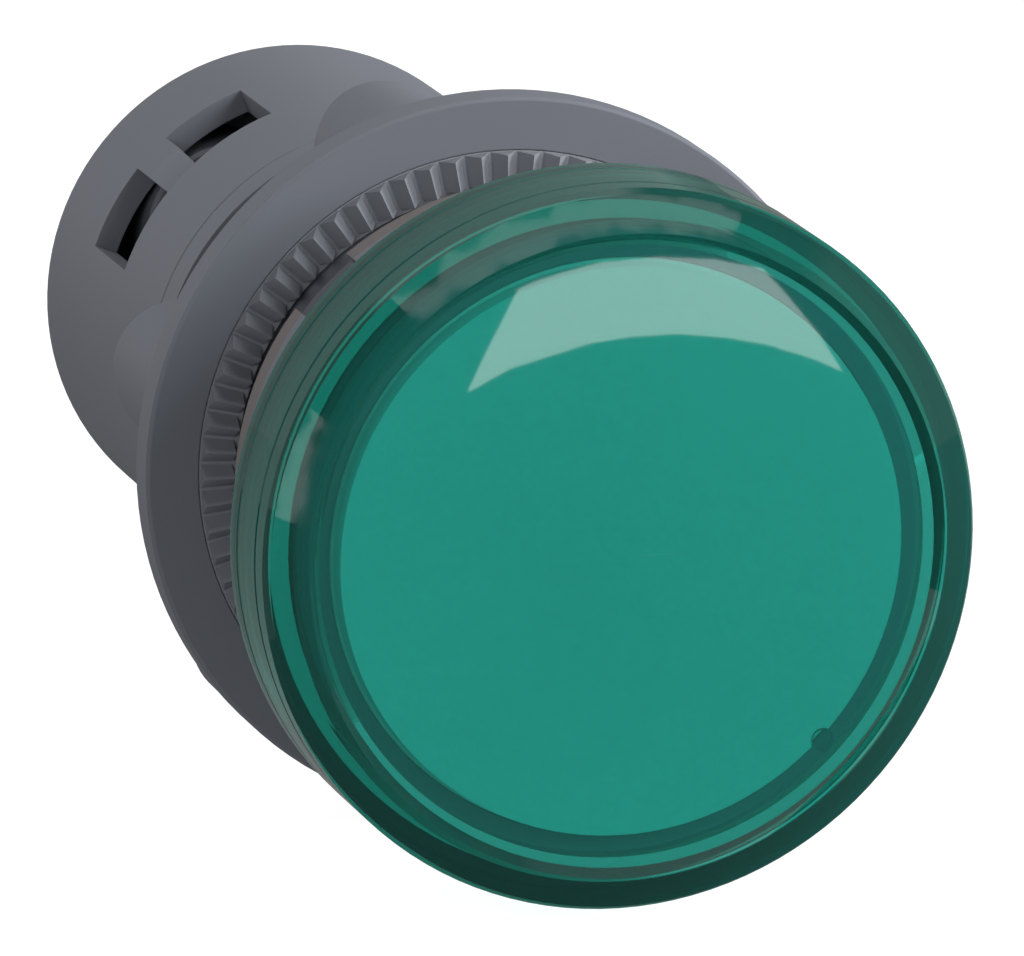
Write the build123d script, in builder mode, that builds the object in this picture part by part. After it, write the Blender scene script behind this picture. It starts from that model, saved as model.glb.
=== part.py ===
"""Round 22 mm panel pilot light with a green lens, in millimetres.

The light points along -Y and its axis is the Y axis. The origin is the centre
of the panel seat, which is the rear face of the gasket under the head, so the
head has negative Y and everything behind the panel has positive Y. Angles are
read from the front, from +X towards +Z.
"""
from build123d import *
from math import cos, radians, sin, tan
import os

os.makedirs("parts", exist_ok=True)

# Clearances
slide_gap = 0.05
seat_gap = 0.02
ring_gap = 0.03
running_gap = 0.1
fit_gap = 0.2

# Panel cut-out that the barrel, the gasket and the nut are made for
cutout_radius = 11.15
barrel_play = 0.15
thread_depth = 0.4
seat_width = 0.9

# Head in front of the panel
head_height = 15.3
lens_radius = 14.5
lens_depth = 6.7
lens_wall = 1.6
window_thickness = 0.8
rim_inset = 1.56
rim_bevel = 0.34
rim_recess = 0.5
dome_rise = 0.2
shoulder_inset = 0.2
shoulder_depth = 0.95
shoulder_turn = 0.45
groove_place = 2.55
groove_depth = 0.12
lip_length = 1.35
lip_chamfer = 0.25
corner_bevel = 0.6
snap_reach = 0.4
snap_length = 0.45
peg_radius = 0.45
peg_overlap = 0.3
peg_angle = -44.6

# Front housing: spigot inside the lens, collar, taper and neck
spigot_gap = 0.35
spigot_wall = 0.95
spigot_lead = 0.25
snap_groove_depth = 0.3
collar_inset = 0.75
collar_length = 1.6
neck_length = 1.9
gasket_thickness = 1.05
seal_section = 0.74
seal_place = 1.9

# Locating notch in the neck and the barrel, for a key in the panel's cut-out
key_angle = 135.0
notch_half_angle = 7.1
notch_length = 4.5
notch_depth = 0.6
notch_run = 1.4

# Barrel through the panel, and the housing behind it
barrel_length = 20.2
barrel_wall = 1.3
runout_length = 1.3
runout_depth = 0.35
barrel_collar = 1.85
part_line = 0.08
rear_length = 17.9
rear_wall = 1.0
rear_chamfer = 0.15
joint_length = 2.8
joint_wall = 0.9
joint_lead = 1.2

# Toothed ring, and the fixing nut that pushes it against the panel
panel_gap = 2.5
tooth_count = 72
tooth_height = 0.78
tooth_length = 1.29
tooth_sink = 0.05
tooth_pitch_share = 0.94
ring_wall = 1.57
ring_recess = 0.45
flange_border = 2.18
flange_thickness = 1.72
flange_chamfer = 0.14
hub_wall = 1.1
nut_length = 8.1
lobe_count = 6
lobe_radius = 3.35
lobe_angle = 45.6
lobe_taper = 0.5
lobe_inset = 0.03
lobe_drop = 0.3
lobe_root_reach = 0.1
lobe_edge_round = 0.45

# Wire entry windows, two beside each terminal screw, with a ramp between them
terminal_angles = {"x1": 135.0, "x2": 315.0}
window_half_angle = 25.1
bridge_half_angle = 4.8
window_length = 5.2
bridge_length = 3.2
bridge_ramp_depth = 0.9
bridge_rib_thickness = 1.8

# Terminals
terminal_inset = 3.9
bulkhead_thickness = 1.2
bulkhead_place = 5.2
partition_thickness = 1.2
plate_thickness = 1.0
plate_half_width = 4.0
plate_inset = 1.1
tail_width = 3.0
tail_thickness = 0.8
tail_overlap = 4.7
clamp_thickness = 1.0
clamp_half_width = 3.9
clamp_half_length = 2.7
clamp_corner = 0.6
screw_radius = 1.75
screw_length = 7.0
screw_tip = 0.4
screw_head_radius = 2.85
screw_head_height = 2.3
screw_head_chamfer = 0.5
screw_slot_width = 0.9
screw_slot_depth = 1.1
screw_cross_length = 3.4
cover_thickness = 1.4
cover_setback = 0.2
driver_hole_radius = 3.0
shroud_wall = 0.7
shroud_length = 2.6

# Light engine
diffuser_gap = 0.18
diffuser_thickness = 1.0
diffuser_rim = 0.6
reflector_rim = 0.8
reflector_lip = 0.6
reflector_wall = 0.7
reflector_throat_inset = 2.95
led_board_place = 8.0
led_board_thickness = 1.0
board_step = 1.6
board_taper = 1.5
led_count = 6
led_ring_inset = 3.2
led_size = 3.0
led_height = 0.7

# Circuit on the power board
power_board_thickness = 1.6
power_board_half_width = 7.9
power_board_front_gap = 0.5
power_board_rear_gap = 1.4
pin_count = 4
pin_spacing = 3.4
pin_size = 0.6
pin_length = 3.2
part_gap = 0.6
parts_front_gap = 4.6
film_capacitor_size = (4.2, 6.8, 10.0)
film_capacitor_corner = 0.4
can_radius = 2.8
can_length = 11.0
can_chamfer = 0.35
rectifier_size = (2.4, 6.2, 4.8)
rectifier_chamfer = 0.3
resistor_count = 3
resistor_radius = 1.1
resistor_length = 5.8
resistor_spacing = 3.0
varistor_radius = 3.0
varistor_thickness = 1.9
varistor_chamfer = 0.4
guide_reach = 1.9
guide_sink = 0.3
guide_width = 3.4
guide_place = 6.3
guide_length = 15.0

# Places along the axis
front_y = -head_height
lens_rear_y = front_y + lens_depth
window_front_y = front_y + rim_recess
window_back_y = window_front_y + window_thickness
diffuser_front_y = window_back_y + slide_gap
diffuser_rear_y = diffuser_front_y + diffuser_thickness
spigot_front_y = diffuser_rear_y + slide_gap
seal_y = spigot_front_y + seal_place
snap_front_y = lens_rear_y - snap_length - fit_gap
collar_front_y = lens_rear_y + seat_gap
collar_rear_y = collar_front_y + collar_length
neck_rear_y = -gasket_thickness
taper_rear_y = neck_rear_y - neck_length
flange_front_y = panel_gap + tooth_height
rear_start_y = barrel_length
collar_start_y = rear_start_y - barrel_collar
rear_end_y = rear_start_y + rear_length
bulkhead_front_y = rear_start_y + bulkhead_place
bulkhead_rear_y = bulkhead_front_y + bulkhead_thickness
cover_front_y = rear_end_y - cover_setback - cover_thickness
led_board_front_y = front_y + led_board_place
led_board_rear_y = led_board_front_y + led_board_thickness
board_front_y = led_board_rear_y + power_board_front_gap
board_rear_y = bulkhead_front_y - power_board_rear_gap
parts_y = led_board_rear_y + pin_length + parts_front_gap
plate_rear_y = bulkhead_rear_y + plate_thickness
clamp_front_y = plate_rear_y + seat_gap
head_front_y = clamp_front_y + clamp_thickness + seat_gap

# Radii, each from the size that it has to fit
thread_radius = cutout_radius - barrel_play
barrel_radius = thread_radius - thread_depth
neck_radius = cutout_radius + seat_width
barrel_bore_radius = barrel_radius - barrel_wall
joint_radius = barrel_bore_radius - slide_gap
rear_radius = barrel_radius
rear_bore_radius = rear_radius - rear_wall
nut_bore_radius = thread_radius + running_gap
ring_radius = nut_bore_radius + ring_wall
flange_radius = ring_radius + flange_border
rim_radius = lens_radius - rim_inset
window_radius = rim_radius - rim_bevel
shoulder_radius = lens_radius - shoulder_inset
lens_bore_radius = lens_radius - lens_wall
spigot_radius = lens_bore_radius - spigot_gap
snap_groove_radius = spigot_radius - snap_groove_depth
spigot_bore_radius = spigot_radius - spigot_wall
collar_radius = lens_radius - collar_inset
seal_floor_radius = lens_bore_radius - slide_gap - seal_section
diffuser_radius = spigot_bore_radius - diffuser_gap
peg_place_radius = diffuser_radius + peg_radius - peg_overlap
reflector_throat_radius = spigot_bore_radius - slide_gap - reflector_throat_inset
led_ring_radius = reflector_throat_radius - led_ring_inset
terminal_radius = rear_bore_radius - terminal_inset
half_board = 0.5 * power_board_thickness


def cross_plane(y, angle=0.0):
    """Plane across the axis, facing the rear, with its x direction at the angle."""
    turn = radians(angle)
    return Plane(origin=(0, y, 0), x_dir=(cos(turn), 0, sin(turn)), z_dir=(0, 1, 0))


def lengthwise_plane(angle):
    """Plane through the axis, with x across at the angle and y along the axis."""
    turn = radians(angle)
    return Plane(origin=(0, 0, 0), x_dir=(cos(turn), 0, sin(turn)), z_dir=(-sin(turn), 0, cos(turn)))


def ring_sector(inner, outer, half_angle):
    """Corner points of a ring sector about the sketch's x direction."""
    turn = radians(half_angle)
    return [
        (inner * cos(turn), -inner * sin(turn)),
        (outer, -outer * tan(turn)),
        (outer, outer * tan(turn)),
        (inner * cos(turn), inner * sin(turn)),
    ]


# Lens: a moulded cap with a bevelled rim, a sloping shoulder and a grooved skirt
with BuildPart() as lens:
    with BuildSketch(Plane.XY):
        with BuildLine():
            window_centre = (0, window_front_y - dome_rise)
            window_middle = (0.5 * window_radius, window_front_y - 0.75 * dome_rise)
            window_edge = (window_radius, window_front_y)
            ThreePointArc(window_centre, window_middle, window_edge)
            Polyline(
                window_edge,
                (rim_radius, front_y),
                (shoulder_radius, front_y + shoulder_depth),
                (lens_radius, front_y + shoulder_depth + shoulder_turn),
                (lens_radius, front_y + groove_place - groove_depth),
                (lens_radius - groove_depth, front_y + groove_place),
                (lens_radius, front_y + groove_place + groove_depth),
                (lens_radius, lens_rear_y - lip_length - groove_depth),
                (lens_radius - groove_depth, lens_rear_y - lip_length),
                (lens_radius, lens_rear_y - lip_length + groove_depth),
                (lens_radius, lens_rear_y),
                (lens_bore_radius, lens_rear_y),
                (lens_bore_radius, snap_front_y + snap_length),
                (lens_bore_radius - snap_reach, snap_front_y + snap_length),
                (lens_bore_radius - snap_reach, snap_front_y + 0.5 * snap_length),
                (lens_bore_radius, snap_front_y),
                (lens_bore_radius, window_back_y + corner_bevel),
                (lens_bore_radius - corner_bevel, window_back_y),
                (0, window_back_y),
                window_centre,
            )
        make_face()
    revolve(axis=Axis.Y)
    rear_rim = lens.edges().filter_by(GeomType.CIRCLE).group_by(Axis.Y)[-1].sort_by(SortBy.RADIUS)[-1]
    chamfer(rear_rim, length=lip_chamfer)
    with BuildSketch(cross_plane(window_back_y, peg_angle)):
        with Locations((peg_place_radius, 0)):
            Circle(peg_radius)
    extrude(amount=0.8 * diffuser_thickness)
lens.part.label = "lens"
export_step(lens.part, "parts/lens.step")

# Diffuser: a thin cap with a turned rim and a notch for the lens's peg
with BuildPart() as diffuser:
    with BuildSketch(cross_plane(diffuser_front_y)):
        Circle(diffuser_radius)
    extrude(amount=diffuser_thickness)
    with BuildSketch(cross_plane(diffuser_rear_y - 0.45 * diffuser_thickness)):
        Circle(diffuser_radius - diffuser_rim)
    extrude(amount=0.45 * diffuser_thickness, mode=Mode.SUBTRACT)
    with BuildSketch(cross_plane(diffuser_front_y, peg_angle)):
        with Locations((peg_place_radius, 0)):
            Circle(peg_radius + slide_gap)
    extrude(amount=diffuser_thickness, mode=Mode.SUBTRACT)
diffuser.part.label = "diffuser"
export_step(diffuser.part, "parts/diffuser.step")

# Front housing: spigot for the lens, collar, tapered neck, and the long barrel
# with the thread's run-out groove near its end
with BuildPart() as front_housing:
    with BuildSketch(Plane.XY):
        with BuildLine():
            Polyline(
                (spigot_bore_radius, spigot_front_y),
                (spigot_radius - spigot_lead, spigot_front_y),
                (spigot_radius, spigot_front_y + spigot_lead),
                (spigot_radius, seal_y - 0.6 * seal_section),
                (seal_floor_radius, seal_y - 0.6 * seal_section),
                (seal_floor_radius, seal_y + 0.6 * seal_section),
                (spigot_radius, seal_y + 0.6 * seal_section),
                (spigot_radius, snap_front_y - fit_gap),
                (snap_groove_radius, snap_front_y - fit_gap),
                (snap_groove_radius, collar_front_y),
                (collar_radius, collar_front_y),
                (collar_radius, collar_rear_y),
                (neck_radius, taper_rear_y),
                (neck_radius, neck_rear_y),
                (barrel_radius, neck_rear_y),
                (barrel_radius, collar_start_y - runout_length),
                (barrel_radius - runout_depth, collar_start_y - runout_length + runout_depth),
                (barrel_radius - runout_depth, collar_start_y),
                (barrel_radius, collar_start_y),
                (barrel_radius, rear_start_y - part_line),
                (barrel_radius - part_line, rear_start_y),
                (barrel_bore_radius, rear_start_y),
                (barrel_bore_radius, led_board_rear_y + board_taper),
                (spigot_bore_radius - board_step, led_board_rear_y),
                (spigot_bore_radius, led_board_rear_y),
                close=True,
            )
        make_face()
    revolve(axis=Axis.Y)
    with BuildSketch(cross_plane(notch_run, key_angle)):
        notch_floor = barrel_radius - notch_depth
        Polygon(*ring_sector(notch_floor, neck_radius, notch_half_angle), align=None)
    extrude(amount=neck_rear_y - notch_length - notch_run, mode=Mode.SUBTRACT)
    for side in (-1, 1):
        with BuildSketch(cross_plane(led_board_rear_y + guide_place, key_angle + side * 90)):
            with Locations((barrel_bore_radius + guide_sink, 0)):
                Rectangle(guide_reach + guide_sink, guide_width, align=(Align.MAX, Align.CENTER))
            Rectangle(
                2 * (power_board_half_width + fit_gap),
                power_board_thickness + fit_gap,
                mode=Mode.SUBTRACT,
            )
        extrude(amount=guide_length)
front_housing.part.label = "front_housing"
export_step(front_housing.part, "parts/front_housing.step")

# Lens seal: a square-section ring in the spigot's groove
with BuildPart() as lens_seal:
    with BuildSketch(Plane.XY):
        with Locations((lens_bore_radius - slide_gap - 0.5 * seal_section, seal_y)):
            Rectangle(seal_section - slide_gap, seal_section)
    revolve(axis=Axis.Y)
lens_seal.part.label = "lens_seal"
export_step(lens_seal.part, "parts/lens_seal.step")

# Panel gasket: a flat rubber ring that is open at the locating notch
with BuildPart() as panel_gasket:
    with BuildSketch(cross_plane(neck_rear_y, key_angle)):
        Circle(neck_radius)
        Circle(thread_radius + slide_gap, mode=Mode.SUBTRACT)
        Polygon(
            *ring_sector(barrel_radius - seat_width, neck_radius + seat_width, notch_half_angle),
            align=None,
            mode=Mode.SUBTRACT,
        )
    extrude(amount=gasket_thickness)
panel_gasket.part.label = "panel_gasket"
export_step(panel_gasket.part, "parts/panel_gasket.step")

# Toothed ring: sits loose in the nut, and its face teeth bite the rear of the panel
tooth_half_angle = radians(0.5 * tooth_pitch_share * 360 / tooth_count)
tooth_outer_radius = ring_radius - slide_gap
with BuildPart() as tooth:
    for radius in (tooth_outer_radius - tooth_length, tooth_outer_radius):
        half_width = radius * sin(tooth_half_angle)
        with BuildSketch(Plane.YZ.offset(radius)):
            Polygon(
                (-half_width, tooth_sink),
                (0, -tooth_height),
                (half_width, tooth_sink),
                align=None,
            )
    loft()
with BuildPart(cross_plane(flange_front_y)) as tooth_ring:
    with BuildSketch(cross_plane(flange_front_y)):
        Circle(ring_radius)
        Circle(nut_bore_radius, mode=Mode.SUBTRACT)
    extrude(amount=ring_recess - seat_gap)
    with PolarLocations(0, tooth_count):
        add(tooth.part)
tooth_ring.part.label = "tooth_ring"
export_step(tooth_ring.part, "parts/tooth_ring.step")

# Finger lobe: a tapered round post whose end is an arch when it is seen from outside
lobe_centre_radius = flange_radius - lobe_inset - lobe_radius
lobe_root_radius = lobe_centre_radius + lobe_root_reach
with BuildPart() as lobe:
    with BuildSketch(Plane.XY):
        with Locations((lobe_centre_radius, 0)):
            Circle(lobe_radius)
    extrude(amount=nut_length, taper=lobe_taper)
    with BuildSketch(Plane.YZ.offset(lobe_root_radius)):
        with Locations((0, nut_length - lobe_drop - lobe_radius)):
            Circle(lobe_radius)
            Rectangle(2 * lobe_radius, nut_length, align=(Align.CENTER, Align.MAX))
    extrude(amount=flange_radius, mode=Mode.INTERSECT)
    arch_edge = lobe.edges().filter_by(GeomType.BSPLINE)
    fillet(arch_edge, radius=lobe_edge_round)

# Fixing nut: a wide flange, a recess for the toothed ring and a hub with six lobes
with BuildPart(cross_plane(flange_front_y, lobe_angle)) as fixing_nut:
    with BuildSketch(cross_plane(flange_front_y)):
        Circle(nut_bore_radius + hub_wall)
    extrude(amount=nut_length)
    with PolarLocations(0, lobe_count):
        add(lobe.part)
    with BuildSketch(cross_plane(flange_front_y)):
        Circle(flange_radius)
    extrude(amount=flange_thickness)
    flange_rim = fixing_nut.edges().filter_by(GeomType.CIRCLE).group_by(Axis.Y)[0]
    chamfer(flange_rim, length=flange_chamfer)
    with BuildSketch(cross_plane(flange_front_y)):
        Circle(ring_radius + ring_gap)
    extrude(amount=ring_recess, mode=Mode.SUBTRACT)
    with BuildSketch(cross_plane(flange_front_y)):
        Circle(nut_bore_radius)
    extrude(amount=nut_length, mode=Mode.SUBTRACT)
fixing_nut.part.label = "fixing_nut"
export_step(fixing_nut.part, "parts/fixing_nut.step")

# Rear housing: a thin shell with four wire windows, a bulkhead and a partition
with BuildPart() as rear_housing:
    with BuildSketch(Plane.XY):
        with BuildLine():
            Polyline(
                (joint_radius, rear_start_y - joint_length),
                (joint_radius, rear_start_y + seat_gap),
                (rear_radius - part_line, rear_start_y + seat_gap),
                (rear_radius, rear_start_y + seat_gap + part_line),
                (rear_radius, rear_end_y),
                (rear_bore_radius, rear_end_y),
                (rear_bore_radius, bulkhead_rear_y),
                (0, bulkhead_rear_y),
                (0, bulkhead_front_y),
                (rear_bore_radius, bulkhead_front_y),
                (rear_bore_radius, rear_start_y + joint_lead),
                (joint_radius - joint_wall, rear_start_y),
                (joint_radius - joint_wall, rear_start_y - joint_length),
                close=True,
            )
        make_face()
    revolve(axis=Axis.Y)
    rim_edges = rear_housing.edges().filter_by(GeomType.CIRCLE).group_by(Axis.Y)[-1]
    chamfer(rim_edges.sort_by(SortBy.RADIUS)[-1], length=rear_chamfer)
    partition_depth = cover_front_y - bulkhead_rear_y
    with BuildSketch(cross_plane(bulkhead_rear_y, key_angle)):
        Rectangle(partition_thickness, 2 * rear_bore_radius)
    extrude(amount=partition_depth)
    for angle in terminal_angles.values():
        rib_inner = rear_radius - bridge_rib_thickness
        with BuildSketch(cross_plane(bulkhead_rear_y, angle)):
            Polygon(*ring_sector(rib_inner, rear_radius - 0.5 * rear_wall, bridge_half_angle), align=None)
        extrude(amount=window_length)
        for side in (-1, 1):
            middle = angle + side * 0.5 * (bridge_half_angle + window_half_angle)
            half_span = 0.5 * (window_half_angle - bridge_half_angle)
            with BuildSketch(cross_plane(bulkhead_rear_y, middle)):
                Polygon(*ring_sector(rear_bore_radius - rear_wall, rear_radius, half_span), align=None)
            extrude(amount=window_length, mode=Mode.SUBTRACT)
        with BuildSketch(lengthwise_plane(angle)):
            Polygon(
                (rear_radius - bridge_ramp_depth, bulkhead_rear_y),
                (rear_radius + rear_wall, bulkhead_rear_y),
                (rear_radius + rear_wall, bulkhead_rear_y + bridge_length),
                (rear_radius, bulkhead_rear_y + bridge_length),
                align=None,
            )
        ramp_half_width = rear_radius * sin(radians(bridge_half_angle)) + seat_gap
        extrude(amount=ramp_half_width, both=True, mode=Mode.SUBTRACT)
        with BuildSketch(cross_plane(bulkhead_front_y, angle)):
            with Locations((terminal_radius, 0)):
                Circle(screw_radius + fit_gap)
            with Locations((half_board - fit_gap, 0)):
                Rectangle(
                    tail_thickness + 2 * fit_gap,
                    tail_width + 2 * fit_gap,
                    align=(Align.MIN, Align.CENTER),
                )
        extrude(amount=bulkhead_thickness, mode=Mode.SUBTRACT)
rear_housing.part.label = "rear_housing"
export_step(rear_housing.part, "parts/rear_housing.step")

# Rear cover: a recessed disc with a shrouded driver hole behind each terminal screw
with BuildPart() as rear_cover:
    with BuildSketch(cross_plane(cover_front_y + seat_gap, key_angle)):
        Circle(rear_bore_radius - slide_gap)
    extrude(amount=cover_thickness - seat_gap)
    with BuildSketch(cross_plane(cover_front_y + seat_gap, key_angle)):
        with PolarLocations(terminal_radius, 2):
            Circle(driver_hole_radius + shroud_wall)
    extrude(amount=-shroud_length)
    with BuildSketch(cross_plane(cover_front_y + cover_thickness, key_angle)):
        with PolarLocations(terminal_radius, 2):
            Circle(driver_hole_radius)
    extrude(amount=-cover_thickness - shroud_length, mode=Mode.SUBTRACT)
rear_cover.part.label = "rear_cover"
export_step(rear_cover.part, "parts/rear_cover.step")

# Reflector: a white cup from the LED board to the diffuser
cup_radius = spigot_bore_radius - slide_gap
reflector_rear_y = led_board_front_y - slide_gap
with BuildPart() as reflector:
    with BuildSketch(Plane.XY):
        with BuildLine():
            Polyline(
                (cup_radius, spigot_front_y),
                (cup_radius, spigot_front_y + reflector_rim),
                (reflector_throat_radius + reflector_wall, reflector_rear_y - reflector_lip),
                (reflector_throat_radius + reflector_wall, reflector_rear_y),
                (reflector_throat_radius, reflector_rear_y),
                (reflector_throat_radius, reflector_rear_y - reflector_lip),
                (cup_radius - reflector_wall, spigot_front_y),
                close=True,
            )
        make_face()
    revolve(axis=Axis.Y)
reflector.part.label = "reflector"
export_step(reflector.part, "parts/reflector.step")

# LED board: a round board on the step inside the head
with BuildPart() as led_board:
    with BuildSketch(cross_plane(led_board_front_y)):
        Circle(spigot_bore_radius - slide_gap)
    extrude(amount=led_board_thickness - seat_gap)
led_board.part.label = "led_board"
export_step(led_board.part, "parts/led_board.step")

# LED chips: six in a ring and one in the middle, as a group of like parts
with BuildPart() as led_chips:
    with BuildSketch(cross_plane(led_board_front_y)):
        Rectangle(led_size, led_size)
        with PolarLocations(led_ring_radius, led_count):
            Rectangle(led_size, led_size)
    extrude(amount=-led_height)
led_chips.part.label = "led_chips"
export_step(led_chips.part, "parts/led_chips.step")

# Power board: stands along the barrel in its two card guides
with BuildPart() as power_board:
    with BuildSketch(cross_plane(board_front_y, key_angle)):
        Rectangle(power_board_thickness, 2 * power_board_half_width)
    extrude(amount=board_rear_y - board_front_y)
power_board.part.label = "power_board"
export_step(power_board.part, "parts/power_board.step")

# Board pins: join the power board to the LED board
with BuildPart() as board_pins:
    with BuildSketch(cross_plane(led_board_rear_y - seat_gap, key_angle)):
        with Locations((half_board + 0.5 * pin_size, 0)):
            with GridLocations(pin_spacing, pin_spacing, 1, pin_count):
                Rectangle(pin_size, pin_size)
    extrude(amount=pin_length)
board_pins.part.label = "board_pins"
export_step(board_pins.part, "parts/board_pins.step")

# Mains dropper: a boxed film capacitor on the first side of the board
film_thickness, film_width, film_length = film_capacitor_size
with BuildPart() as film_capacitor:
    with BuildSketch(cross_plane(parts_y, key_angle)):
        with Locations((half_board, -0.5 * (film_width + part_gap))):
            RectangleRounded(
                film_thickness,
                film_width,
                film_capacitor_corner,
                align=(Align.MIN, Align.CENTER),
            )
    extrude(amount=film_length)
film_capacitor.part.label = "film_capacitor"
export_step(film_capacitor.part, "parts/film_capacitor.step")

# Smoothing capacitor: a round can beside it
with BuildPart() as smoothing_capacitor:
    with BuildSketch(cross_plane(parts_y, key_angle)):
        with Locations((half_board + can_radius, can_radius + 1.5 * part_gap)):
            Circle(can_radius)
    extrude(amount=can_length)
    chamfer(smoothing_capacitor.edges().filter_by(GeomType.CIRCLE), length=can_chamfer)
smoothing_capacitor.part.label = "smoothing_capacitor"
export_step(smoothing_capacitor.part, "parts/smoothing_capacitor.step")

# Rectifier block on the second side of the board
block_thickness, block_width, block_length = rectifier_size
with BuildPart() as rectifier:
    with BuildSketch(cross_plane(parts_y, key_angle)):
        with Locations((-half_board, -0.5 * (block_width + part_gap))):
            Rectangle(block_thickness, block_width, align=(Align.MAX, Align.CENTER))
    extrude(amount=block_length)
    chamfer(rectifier.edges().filter_by(Axis.Y), length=rectifier_chamfer)
rectifier.part.label = "rectifier"
export_step(rectifier.part, "parts/rectifier.step")

# Varistor: a flat disc against surges, beside the rectifier
with BuildPart() as varistor:
    with BuildSketch(lengthwise_plane(key_angle - 90).offset(-half_board)):
        with Locations((varistor_radius + 1.5 * part_gap, parts_y + varistor_radius)):
            Circle(varistor_radius)
    extrude(amount=-varistor_thickness)
    chamfer(varistor.edges().filter_by(GeomType.CIRCLE), length=varistor_chamfer)
varistor.part.label = "varistor"
export_step(varistor.part, "parts/varistor.step")

# Resistors: three like parts in a row across the board
resistor_y = parts_y + 2 * varistor_radius + part_gap + resistor_radius
with BuildPart() as resistors:
    with BuildSketch(lengthwise_plane(key_angle).offset(-0.5 * resistor_length)):
        for index in range(resistor_count):
            with Locations((-half_board - resistor_radius, resistor_y + index * resistor_spacing)):
                Circle(resistor_radius)
    extrude(amount=resistor_length)
resistors.part.label = "resistors"
export_step(resistors.part, "parts/resistors.step")

# Terminals: a brass plate with a tail, a clamp and a screw on each side
for terminal, angle in terminal_angles.items():
    with BuildPart() as terminal_plate:
        with BuildSketch(cross_plane(bulkhead_rear_y, angle)):
            with Locations((half_board + seat_gap, 0)):
                Rectangle(
                    rear_bore_radius - plate_inset - half_board - seat_gap,
                    2 * plate_half_width,
                    align=(Align.MIN, Align.CENTER),
                )
            with Locations((terminal_radius, 0)):
                Circle(screw_radius + slide_gap, mode=Mode.SUBTRACT)
        extrude(amount=plate_thickness)
        with BuildSketch(cross_plane(plate_rear_y, angle)):
            with Locations((half_board, 0)):
                Rectangle(tail_thickness, tail_width, align=(Align.MIN, Align.CENTER))
        extrude(amount=board_rear_y - tail_overlap - plate_rear_y)
    terminal_plate.part.label = f"terminal_plate_{terminal}"
    export_step(terminal_plate.part, f"parts/terminal_plate_{terminal}.step")

    with BuildPart() as wire_clamp:
        with BuildSketch(cross_plane(clamp_front_y, angle)) as clamp_outline:
            with Locations((terminal_radius, 0)):
                Rectangle(2 * clamp_half_length, 2 * clamp_half_width)
            fillet(clamp_outline.vertices(), radius=clamp_corner)
            with Locations((terminal_radius, 0)):
                Circle(screw_radius + slide_gap, mode=Mode.SUBTRACT)
        extrude(amount=clamp_thickness)
    wire_clamp.part.label = f"wire_clamp_{terminal}"
    export_step(wire_clamp.part, f"parts/wire_clamp_{terminal}.step")

    with BuildPart() as terminal_screw:
        with BuildSketch(cross_plane(head_front_y, angle)):
            with Locations((terminal_radius, 0)):
                Circle(screw_head_radius)
        extrude(amount=screw_head_height)
        top_edge = terminal_screw.edges().filter_by(GeomType.CIRCLE).group_by(Axis.Y)[-1]
        chamfer(top_edge, length=screw_head_chamfer)
        with BuildSketch(cross_plane(head_front_y, angle)):
            with Locations((terminal_radius, 0)):
                Circle(screw_radius)
        extrude(amount=-screw_length)
        tip_edge = terminal_screw.edges().filter_by(GeomType.CIRCLE).group_by(Axis.Y)[0]
        chamfer(tip_edge, length=screw_tip)
        with BuildSketch(cross_plane(head_front_y + screw_head_height, angle)):
            with Locations((terminal_radius, 0)):
                Rectangle(2 * screw_head_radius + screw_slot_width, screw_slot_width)
        extrude(amount=-screw_slot_depth, mode=Mode.SUBTRACT)
        with BuildSketch(cross_plane(head_front_y + screw_head_height, angle)):
            with Locations((terminal_radius, 0)):
                Rectangle(screw_slot_width, screw_cross_length)
        extrude(amount=-screw_slot_depth, mode=Mode.SUBTRACT)
    terminal_screw.part.label = f"terminal_screw_{terminal}"
    export_step(terminal_screw.part, f"parts/terminal_screw_{terminal}.step")
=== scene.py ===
# %% [markdown]
# # A panel pilot light with a green lens
#
# This lesson dresses the CAD model of a 22 mm panel pilot light for a studio
# picture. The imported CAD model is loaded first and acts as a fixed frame: every
# Blender piece is made in metres, in the same place as the part that it dresses.
# The lens faces -Y, the barrel runs along +Y, and +Z is up.

from math import cos, log, pi, radians, sin, sqrt

import bmesh
import bpy
from mathutils import Matrix, Vector


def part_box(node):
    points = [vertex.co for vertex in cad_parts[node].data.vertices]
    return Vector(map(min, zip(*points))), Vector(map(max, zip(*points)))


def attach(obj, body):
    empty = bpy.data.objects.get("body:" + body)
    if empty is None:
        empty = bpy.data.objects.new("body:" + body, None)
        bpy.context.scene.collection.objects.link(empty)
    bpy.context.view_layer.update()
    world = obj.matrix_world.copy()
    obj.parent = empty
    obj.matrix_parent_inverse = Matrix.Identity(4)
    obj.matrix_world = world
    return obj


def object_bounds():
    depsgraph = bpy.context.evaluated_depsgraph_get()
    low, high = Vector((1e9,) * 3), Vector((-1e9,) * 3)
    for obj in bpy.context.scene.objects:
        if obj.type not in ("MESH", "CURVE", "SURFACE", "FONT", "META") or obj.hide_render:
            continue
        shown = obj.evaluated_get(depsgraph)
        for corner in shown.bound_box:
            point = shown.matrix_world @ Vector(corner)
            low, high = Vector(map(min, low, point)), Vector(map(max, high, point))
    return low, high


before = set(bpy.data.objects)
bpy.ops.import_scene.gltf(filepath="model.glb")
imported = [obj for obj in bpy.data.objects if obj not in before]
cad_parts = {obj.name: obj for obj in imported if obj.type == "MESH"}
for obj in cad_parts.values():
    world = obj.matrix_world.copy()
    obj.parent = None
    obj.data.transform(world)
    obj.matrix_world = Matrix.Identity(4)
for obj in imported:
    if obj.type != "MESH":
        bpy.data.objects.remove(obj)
cad_box = [list(corner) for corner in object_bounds()]
mm = 0.001
print("CAD box in mm:", [[round(v / mm, 2) for v in corner] for corner in cad_box])

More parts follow.
